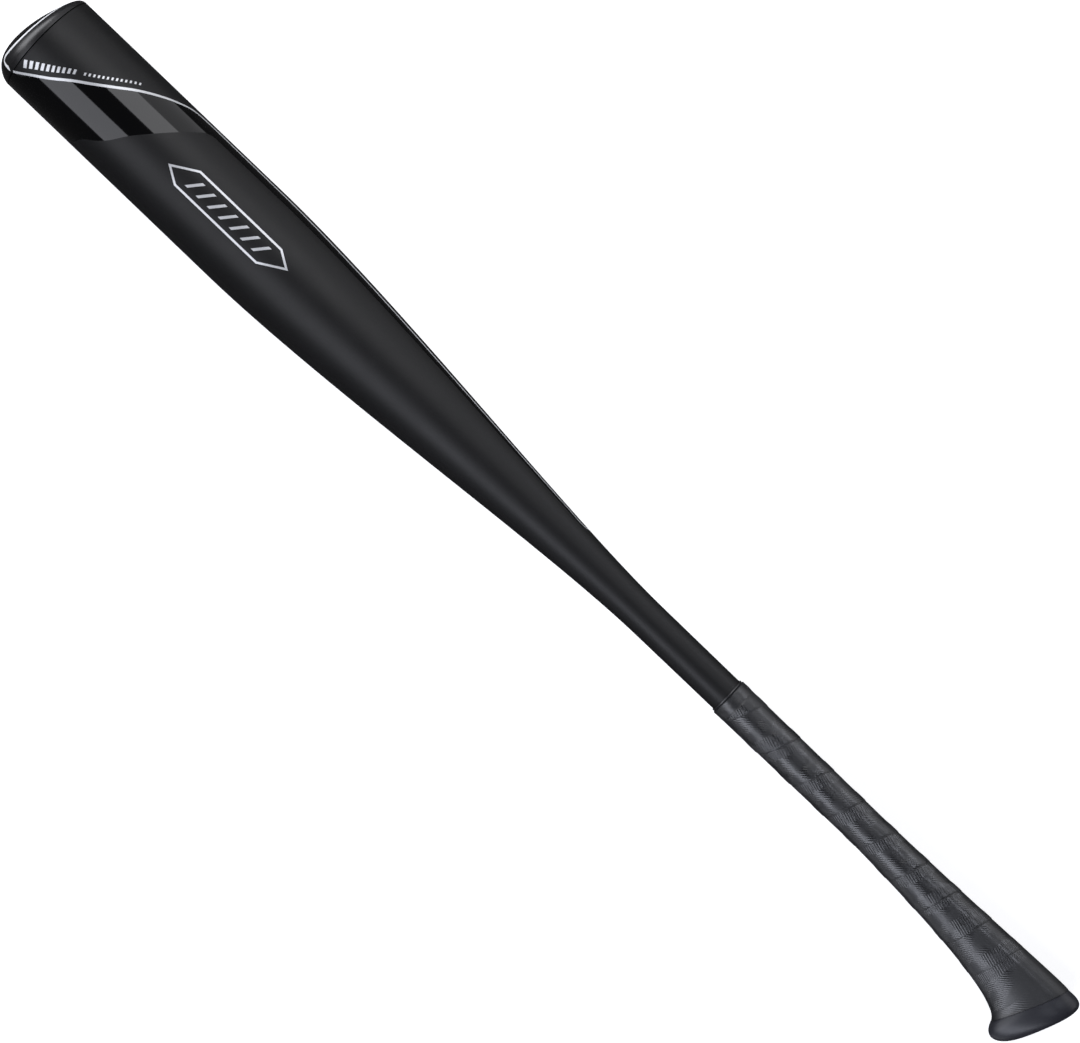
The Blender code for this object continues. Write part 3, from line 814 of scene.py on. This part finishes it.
def outline_mark(corners, width):
    """A closed outline of a line width, mitred at its corners."""
    corners = np.asarray(corners, float)
    rings = []
    for sign in (1.0, -1.0):
        ring = []
        for i, here in enumerate(corners):
            before, after = corners[i - 1], corners[(i + 1) % len(corners)]
            d1 = (here - before) / np.hypot(*(here - before))
            d2 = (after - here) / np.hypot(*(after - here))
            n1, n2 = np.array([-d1[1], d1[0]]), np.array([-d2[1], d2[0]])
            mitre = (n1 + n2) / (1.0 + n1 @ n2)
            ring.append(here + sign * width / 2 * mitre)
        rings.append(np.array(ring))
    parts = []
    outer, inner = rings
    for i in range(len(corners)):
        j = (i + 1) % len(corners)
        steps = max(2, int(np.hypot(*(corners[j] - corners[i])) / OUTLINE_STEP))
        t = np.linspace(0.0, 1.0, steps + 1)[:, None]
        parts.append((outer[i] + (outer[j] - outer[i]) * t, inner[i] + (inner[j] - inner[i]) * t))
    left = np.vstack([p[0][:-1] for p in parts])
    right = np.vstack([p[1][:-1] for p in parts])
    rows = [flat_to_body(left, -INK_ROOT), flat_to_body(left, INK)]
    rows += [flat_to_body(right, INK), flat_to_body(right, -INK_ROOT)]
    points = np.stack(rows, axis=1).reshape(-1, 3)
    n, k = len(left), len(rows)
    faces = []
    for i in range(n):
        for j in range(k):
            m, near, far = (j + 1) % k, i * k, ((i + 1) % n) * k
            faces.append((near + j, near + m, far + m, far + j))
    return points, faces


def build_emblem(look):
    """A plain long hexagon outline with slanted bars in it, front and back."""
    def at(dx, ds):
        return (EMBLEM_X + dx, EMBLEM_ARC + ds)

    h, w = EMBLEM_HALF, EMBLEM_RISE
    near, far, tip = EMBLEM_NEAR * h, EMBLEM_FAR * h, EMBLEM_TIP * w
    corners = [at(-h, tip), at(-near, -w), at(far, -w), at(h, -tip), at(near, w), at(-far, w)]
    parts = [outline_mark(corners, EMBLEM_LINE_W)]
    for i in range(EMBLEM_STROKES):
        centre = STROKE_PITCH * (i - (EMBLEM_STROKES - 1) / 2)
        half, lean, tall = STROKE_HALF_W, STROKE_LEAN, STROKE_RISE * w
        foot, head = centre - lean, centre + lean
        box = (at(foot - half, tall), at(head - half, -tall), at(head + half, -tall), at(foot + half, tall))
        parts.append(quad_mark(box, rows=9))
    parts += [mirrored(part) for part in parts]
    make_piece("silver_emblem", *joined(parts), look, crease=INK_CREASE)


# -------------------- grip
WRAP_SIDES = 176
WRAP_ROW = 0.00046  # spacing of the wrap's mesh along the bat
TURN_ZERO_X = 0.1714  # station of the first overlap on the top edge
TURN_PITCH = 0.02744  # advance of the first turn
TURN_TIGHTEN = 0.000231  # how much each turn is shorter than the last


def turns_at(x):
    """Turns of tape wound up to a station, counted on the top edge from the first overlap."""
    inner = TURN_PITCH**2 - 4 * TURN_TIGHTEN * (x - TURN_ZERO_X)
    return (TURN_PITCH - np.sqrt(inner)) / (2 * TURN_TIGHTEN)


def wobble(u, v):
    """Slow wavering, about -1 to 1."""
    return (np.sin(1.3 * u + 0.7 * v) + np.sin(2.1 * u - 1.9 * v + 1.0) + np.sin(3.7 * u + 2.9 * v + 2.3)) / 3


RIDGE_A, RIDGE_B = 0.00128, 0.00140  # spacing of the tape's slanted and its long ridges
DEPTH_A, DEPTH_B = 0.000038, 0.000052  # half their height in the mesh
BUMP_A, BUMP_B = 0.000042, 0.000056  # half the height that the look's bump adds
GRAIN_DEPTH = 0.000006  # height of the skin's grain in that bump


LAP_HEIGHT = 0.00026  # step where a turn lies over the one before it
LAP_GROOVE = 0.00006  # dip beside the step
SLOPE_A, SLOPE_B = radians(40.0), radians(17.0)  # slants of the two sets of ridges
WRAP_CLEAR = 0.00017  # from the finishing tape's nominal end to the wrap's first ring
WRAP_FADE = 0.0012  # stretch at each end over which the relief dies out
HEM_DEPTH, HEM_LENGTH = 0.00006, 0.0004
FLARE_LENGTH = 0.1415  # between those of its two edges; it sets the count of rings
FLARE_INNER_RINGS = 14

# For each turn from the one before the first overlap on: how far its ridges run lengthwise after
# its overlap, and from where they do so again, as shares of the turn
EARLY_BAND = np.array([0.0, 0.0, 0.26, 0.30, 0.34, 0.28, 0.30, 0.20, 0.0, 0.30, 0.0])
LATE_BAND = np.array([0.66, 0.63, 1.0, 1.0, 1.0, 1.0, 0.65, 0.50, 0.60, 1.0, 1.0])


def tape_pattern(points, angles, span):
    """The wound tape over the sleeve's mean surface: the height of its overlaps, the phases of its
    two sets of ridges, which set shows, and how far the ridges stand, from 0 to 1."""
    x = points[:, 0]
    beta = (pi - angles) % tau
    turns = turns_at(x) + 0.5 + 0.030 * wobble(60.0 * x, np.sin(beta)) - beta / tau
    number = np.floor(turns)
    across = turns - number
    wound = (number >= 0).astype(float)
    lap = rise(0.60, 0.76, across) * (1.0 - rise(0.955, 0.998, across))
    smooth_top = rise(0.376, 0.382, x) * rise(-0.35, 0.15, np.cos(angles))
    height = LAP_HEIGHT * (lap - 0.35) * (1.0 - 0.7 * rise(0.355, 0.375, x))
    height -= LAP_GROOVE * (1.0 - rise(0.0, 0.05, across)) * wound
    height *= 1.0 - 0.8 * smooth_top
    height = np.where(number < 0, np.maximum(height, 0.0) * (number > -2), height)
    arc = FLARE_R * tau * number + span * (beta - pi) / tau
    phase_a = (cos(SLOPE_A) * arc - sin(SLOPE_A) * x) / RIDGE_A
    phase_b = (cos(SLOPE_B) * arc + sin(SLOPE_B) * x) / RIDGE_B
    index = np.clip(number + 1, 0, len(EARLY_BAND) - 1).astype(int)
    early, late = np.take(EARLY_BAND, index), np.take(LATE_BAND, index)
    top_side = rise(-0.45, -0.15, np.cos(angles))
    side = np.where(number < 5, 1.0 - rise(0.10, 0.35, np.cos(angles)), top_side)
    band = rise(0.00, 0.03, across) * (1.0 - rise(early - 0.04, early, across)) * (early > 0.0)
    band = np.maximum(band, rise(late, late + 0.05, across) * side * (late < 1.0))
    patch = rise(-0.50, 0.15, wobble(120.0 * x + number, 1.9 * beta))
    stand = (1.0 - band) * (0.25 + 0.75 * patch) + band
    stand *= 1.0 - 0.85 * smooth_top
    stand *= 1.0 - 0.30 * rise(0.388, 0.402, x)
    heel_line = np.abs((beta + pi) % tau - pi)
    stand *= 1.0 - rise(0.27, 0.30, x) * (1.0 - rise(0.04, 0.20, heel_line)) * 0.9
    stand *= rise(0.0, 0.012, across) * (1.0 - rise(0.985, 1.0, across))
    stand *= np.where(number < 0, band, 1.0)
    return height, phase_a, phase_b, band, stand


def ridge_height(phase_a, phase_b, band, stand):
    """Height of the ridges alone."""
    slanted = (1.0 - band) * DEPTH_A * np.cos(tau * phase_a)
    return stand * (slanted + band * DEPTH_B * np.cos(tau * phase_b))


def build_wrap(look):
    """The wound tape as one closed sleeve, with its turns lying over each other."""
    angles = sides_of(WRAP_SIDES)
    start = TAPE_END_X + WRAP_CLEAR
    round_count = int((SWAGE_START_X - start) / WRAP_ROW)
    flare_count = int(FLARE_LENGTH * WRAP_END / WRAP_ROW)
    outer = [circle(x, wrap_radius(x), WRAP_SIDES) for x in np.linspace(start, SWAGE_START_X, round_count)]
    outer += [flare_ring(t, 0.0, angles) for t in np.linspace(0.0, WRAP_END, flare_count)[1:]]
    relief_rings, patterns = [], []
    for i, ring in enumerate(outer):
        loop = np.vstack([ring, ring[:1]])
        span = np.linalg.norm(np.diff(loop, axis=0), axis=1).sum()
        away = ring - ring.mean(axis=0)
        away /= np.linalg.norm(away, axis=1)[:, None]
        from_end = min(i, len(outer) - 1 - i) * WRAP_ROW
        steps, *ridges = tape_pattern(ring, angles, span)
        fade = rise(0.0, WRAP_FADE, from_end)
        ridges[-1] = ridges[-1] * fade
        relief = steps * fade + ridge_height(*ridges)
        hem = HEM_DEPTH * (1.0 - rise(0.0, HEM_LENGTH, from_end))
        relief_rings.append(ring + away * (relief - hem)[:, None])
        patterns.append(np.stack(ridges, axis=1))
    inner = [circle(start, wrap_radius(start) - WRAP_THICKNESS, WRAP_SIDES)]
    inner += [flare_ring(t, WRAP_THICKNESS, angles) for t in np.linspace(0.0, WRAP_END, FLARE_INNER_RINGS)]
    rings = relief_rings + inner[::-1]
    wrap = skin("wound_wrap", rings, look, True, slot="grip_polymer", replaces="grip_wrap", crease=70.0)
    plain = np.zeros((len(inner) * WRAP_SIDES, 4))
    values = np.vstack(patterns + [plain])
    for column, name in enumerate(RIDGE_NAMES):
        layer = wrap.data.attributes.new(name, "FLOAT", "POINT")
        layer.data.foreach_set("value", values[:, column].astype(np.float32))


TAPE_SIDES = 128
TAPE_GROOVE = 0.00045  # half the groove between the lip and the band
TAPE_CHAMFER = 0.0002
TAPE_TUCK = 0.0001
TAPE_ROUND = 0.00015
TAPE_OVERRUN = 0.00013  # how far it runs past its nominal end
TAPE_PROUD = 0.00008  # how far it stands over the wrap there
TAPE_END_DROP = 0.00002
TAPE_THINNING = 0.0022  # stretch over which it thins towards the wrap
TAPE_CALM = 0.0006  # the end of that stretch, which has no relief
TAPE_PITCH = 0.0042  # advance of one turn
TAPE_STEP = 0.00010  # height of a turn's edge
PULL_WIDE, PULL_NARROW = 0.00006, 0.00005  # waves where the tape was stretched


def build_tape(look):
    """The finishing tape: nearly two turns wound up to the wrap, and a lip on the bare handle."""
    inner = float(body_radius(GRIP_START_X)) + GAP
    angles = sides_of(TAPE_SIDES)
    lip_x = GRIP_START_X - TAPE_LIP
    outline = [(lip_x, inner), (lip_x, TAPE_LIP_R - TAPE_CHAMFER), (lip_x + TAPE_CHAMFER, TAPE_LIP_R)]
    outline += [(GRIP_START_X - TAPE_GROOVE, TAPE_LIP_R), (GRIP_START_X - TAPE_TUCK, inner + TAPE_TUCK)]
    outline += [(GRIP_START_X + TAPE_GROOVE, TAPE_R - TAPE_ROUND)]
    steps = np.linspace(GRIP_START_X + TAPE_GROOVE + TAPE_ROUND, TAPE_END_X - TAPE_TUCK, 26)
    end_x, drop = TAPE_END_X + TAPE_OVERRUN, TAPE_R - WRAP_START_R - TAPE_PROUD
    thin_x = TAPE_END_X - TAPE_THINNING
    outline += [(x, TAPE_R - drop * rise(thin_x, TAPE_END_X, x)) for x in steps]
    outline += [(end_x, TAPE_R - drop - TAPE_END_DROP), (end_x, inner)]
    rings = []
    for x, r in outline:
        ring = circle(x, r, TAPE_SIDES)
        if steps[0] <= x <= steps[-1]:
            pull = PULL_WIDE * np.sin(3 * angles + 900.0 * x) + PULL_NARROW * np.sin(7 * angles - 400.0 * x)
            edge = (angles / tau + (x - GRIP_START_X) / TAPE_PITCH) % 1.0
            relief = pull + TAPE_STEP * (rise(0.0, 0.10, edge) - 1.0)
            relief *= 1.0 - rise(thin_x, TAPE_END_X - TAPE_CALM, x)
            ring[:, 1:] *= 1.0 + (relief / r)[:, None]
        rings.append(ring)
    skin("end_tape", rings, look, True, slot="finishing_tape", replaces="grip_end_tape", crease=45.0)


# -------------------- knob and plug
KNOB_SIDES = 144
KNOB_FLARE_RINGS, KNOB_BAND_RINGS = 40, 70
BAND_END = 0.995  # where the band's last ring lies, short of the mouth at 1
POCKET_LIP, POCKET_EDGE = 0.00005, 0.00025  # width and depth of the chamfer at its mouth
PLUG_EDGE = 0.0006
PLUG_FACE_INSETS = (0.0035, 0.0012)  # rings of the flat face, inside its rounded edge


def build_knob(look):
    """The flared moulding: the seat of the wrap, the bare band, the pocket and the socket."""
    angles = sides_of(KNOB_SIDES)
    centre, normal = knob_end()
    rings = [flare_ring(t, WRAP_SEAT, angles) for t in np.linspace(COLLAR, 1.0, KNOB_FLARE_RINGS)]
    rings += [band_ring(t, angles) for t in np.linspace(BAND_START, BAND_END, KNOB_BAND_RINGS)]
    for depth, inset in ((0.0, -POCKET_LIP), (POCKET_EDGE, 0.0), (POCKET_DEPTH, 0.0)):
        rings.append(pocket_ring(depth, inset, angles))
    for depth in (POCKET_DEPTH, POCKET_DEPTH + PILOT_LENGTH):
        rings.append(tilted_circle(centre - depth * normal, PILOT_R, normal, KNOB_SIDES))
    straight = np.array([1.0, 0.0])
    rings.append(tilted_circle(np.array([BORE_END_X, PILOT_EXIT_Y]), PILOT_R, straight, KNOB_SIDES))
    collar_x = float(bezier(FLARE_TOP, COLLAR)[0])
    rings += [circle(x, BORE_R, KNOB_SIDES) for x in (BORE_END_X, collar_x)]
    skin("knob_body", rings, look, True, slot="knob_moulding", replaces="knob", crease=45.0)


def build_plug(look):
    """The oval plug with a rounded edge and its stem."""
    angles = sides_of(KNOB_SIDES)
    centre, normal = knob_end()
    rings = [pocket_ring(0.0, GAP + PLUG_EDGE + inset, angles) for inset in PLUG_FACE_INSETS]
    for a in np.linspace(0.0, pi / 2, 6):
        rings.append(pocket_ring(PLUG_EDGE * (1 - cos(a)), GAP + PLUG_EDGE * (1 - sin(a)), angles))
    rings.append(pocket_ring(PLUG_THICKNESS, GAP, angles))
    for depth in (PLUG_THICKNESS, PLUG_THICKNESS + STEM_LENGTH):
        rings.append(tilted_circle(centre - depth * normal, STEM_R, normal, KNOB_SIDES))
    skin("plug_body", rings, look, False, slot="plug_moulding", replaces="knob_plug", crease=50.0)


# -------------------- floor, light and camera
CAMERA_HEIGHT = 2.166  # from the bat's axis, square to it
CAMERA_Y = -0.0022
LENS = 123.4
SENSOR = 36.0
FLOOR_R = 30.0
GLOW_START, GLOW_END = 0.6, 2.2  # distances from the middle between which the floor's glow rises
GLOW_LEAST = 0.62
SURROUND = 0.04  # strength of the light from all round
VIEW_ROLL = radians(43.795)  # how far the bat runs down to the right in the picture


def build_floor():
    """A wide pale floor, whose own glow rises away from the bat."""
    mesh = bpy.data.meshes.new("floor")
    ring = [(FLOOR_R * cos(a), FLOOR_R * sin(a), 0.0) for a in np.linspace(0.0, tau, 97)[:-1]]
    mesh.from_pydata(ring, [], [tuple(range(len(ring)))])
    floor = new_object("floor", mesh)
    look, tree, shader = new_look("pale_floor", Roughness=0.9)
    place = add(tree, "ShaderNodeTexCoord").outputs["Object"]
    cloud = noise(tree, place, 3.0, 3.0, 0.5)
    tree.links.new(tint(tree, cloud, (0.86, 0.86, 0.86), (0.90, 0.90, 0.90)), shader.inputs["Base Color"])
    mesh.materials.append(look)
    floor.visible_glossy = False
    shader.inputs["Emission Color"].default_value = (1.0, 1.0, 1.0, 1.0)
    where = add(tree, "ShaderNodeNewGeometry").outputs["Position"]
    reach = add(tree, "ShaderNodeVectorMath", {0: where}, operation="LENGTH").outputs["Value"]
    limits = {"Value": reach, "From Min": GLOW_START, "From Max": GLOW_END}
    far = add(tree, "ShaderNodeMapRange", limits)
    strength = blend(tree, far.outputs["Result"], GLOW_LEAST, 1.0)
    tree.links.new(strength, shader.inputs["Emission Strength"])


def soft_light(name, centre, aim, size, radiance, colour):
    """A rectangular light of a size along the bat and across it, facing a point on the bat."""
    data = bpy.data.lights.new(name, "AREA")
    data.shape = "RECTANGLE"
    data.size, data.size_y = size
    data.energy = radiance * pi * size[0] * size[1]
    data.color = colour
    light = new_object(name, data)
    back = (spot(*centre) - spot(*aim)).normalized()
    along = (AXIS_X - AXIS_X.dot(back) * back).normalized() if abs(AXIS_X.dot(back)) < 0.9 else AXIS_Y
    turn = Matrix((along, back.cross(along), back)).transposed()
    light.matrix_world = Matrix.Translation(spot(*centre)) @ turn.to_4x4()
    light.visible_camera = False
    return light


def side_light(name, x, degrees, size, radiance, colour):
    """A soft light a metre from the bat's axis, at an angle from straight above towards +y."""
    centre = (x, sin(radians(degrees)), cos(radians(degrees)))
    soft_light(name, centre, (x, 0.0, 0.0), size, radiance, colour)


def build_lights():
    """Long strips over the bat's front, fills at its sides and cap, and a dim surround that is
    white to the camera."""
    cool, blue, deep = (0.96, 0.965, 1.0), (0.915, 0.93, 1.0), (0.86, 0.89, 1.0)
    side_light("strip_top", -0.52, 37.4, (1.16, 0.70), 2.5, cool)
    side_light("strip_heel", -0.53, -42.8, (1.24, 0.79), 2.3, blue)
    side_light("grip_top", 0.30, 69.0, (0.24, 0.24), 4.4, deep)
    side_light("grip_crest", 0.46, 34.0, (0.22, 0.13), 8.5, deep)
    side_light("knob_top", 0.61, 1.0, (0.26, 0.30), 2.2, deep)
    side_light("grip_heel", 0.60, -47.0, (1.16, 0.36), 4.4, deep)
    side_light("grip_under", 0.75, -96.0, (1.0, 0.60), 0.7, blue)
    side_light("fill_side", 0.0, 81.0, (3.0, 0.90), 0.80, cool)
    fill_cap = soft_light("fill_cap", (-1.25, 0.0, 0.30), (-0.40, 0.0, 0.0), (1.2, 0.50), 9.0, cool)
    lit_by_it = bpy.data.collections.new("lit_by_fill_cap")
    for name in ("cap_dome", "silver_rim_line"):
        lit_by_it.objects.link(bpy.data.objects[name])
    fill_cap.light_linking.receiver_collection = lit_by_it
    world = bpy.data.worlds.new("surround")
    bpy.context.scene.world = world
    world.use_nodes = True
    tree = world.node_tree
    back = tree.nodes["Background"]
    seen = add(tree, "ShaderNodeLightPath").outputs["Is Camera Ray"]
    tree.links.new(blend(tree, seen, SURROUND, 1.0), back.inputs["Strength"])
    back.inputs["Color"].default_value = (1.0, 1.0, 1.0, 1.0)


def build_camera():
    """The photograph's view: square to the bat's axis, over its middle."""
    data = bpy.data.cameras.new("camera")
    data.lens = LENS
    data.sensor_width = SENSOR
    data.clip_start, data.clip_end = 0.05, 200.0
    camera = new_object("camera", data)
    right = cos(VIEW_ROLL) * AXIS_X + sin(VIEW_ROLL) * AXIS_Y
    up = -sin(VIEW_ROLL) * AXIS_X + cos(VIEW_ROLL) * AXIS_Y
    turn = Matrix((right, up, AXIS_Z)).transposed()
    camera.matrix_world = Matrix.Translation(spot(0.0, CAMERA_Y, CAMERA_HEIGHT)) @ turn.to_4x4()
    bpy.context.scene.camera = camera


# -------------------- the scene
build_camera()
build_floor()
bpy.context.scene.view_settings.view_transform = "Standard"

silver = silver_look()
build_body(shell_look())
build_cap(cap_look())
build_stripe(silver)
build_rim_line(silver)
build_marks(silver)
build_emblem(silver)
build_wrap(grip_look())
build_tape(tape_look())
build_knob(moulded_look("knob_plastic", (0.0160, 0.0166, 0.0215), (0.0250, 0.0260, 0.0325), 0.28, 0.44, 0.12))
build_plug(moulded_look("plug_plastic", (0.012, 0.012, 0.014), (0.022, 0.022, 0.025), 0.45, 0.62, 0.25))
build_lights()

HIDDEN_LOOKS = {
    "cap_bond_ring": moulded_look("bond_resin", (0.26, 0.19, 0.11), (0.38, 0.30, 0.18), 0.35, 0.60, 0.30),
    "handle_foam_plug": moulded_look("foam_cells", (0.42, 0.42, 0.39), (0.62, 0.62, 0.58), 0.80, 0.95, 0.90),
    "handle_damper": moulded_look(
        "damper_rubber_skin", (0.030, 0.031, 0.034), (0.060, 0.062, 0.066), 0.60, 0.85, 0.40
    ),
    "balance_weight": steel_look(),
}
for node, look in HIDDEN_LOOKS.items():
    for slot in frame["nodes"][node].material_slots:
        slot.material = look
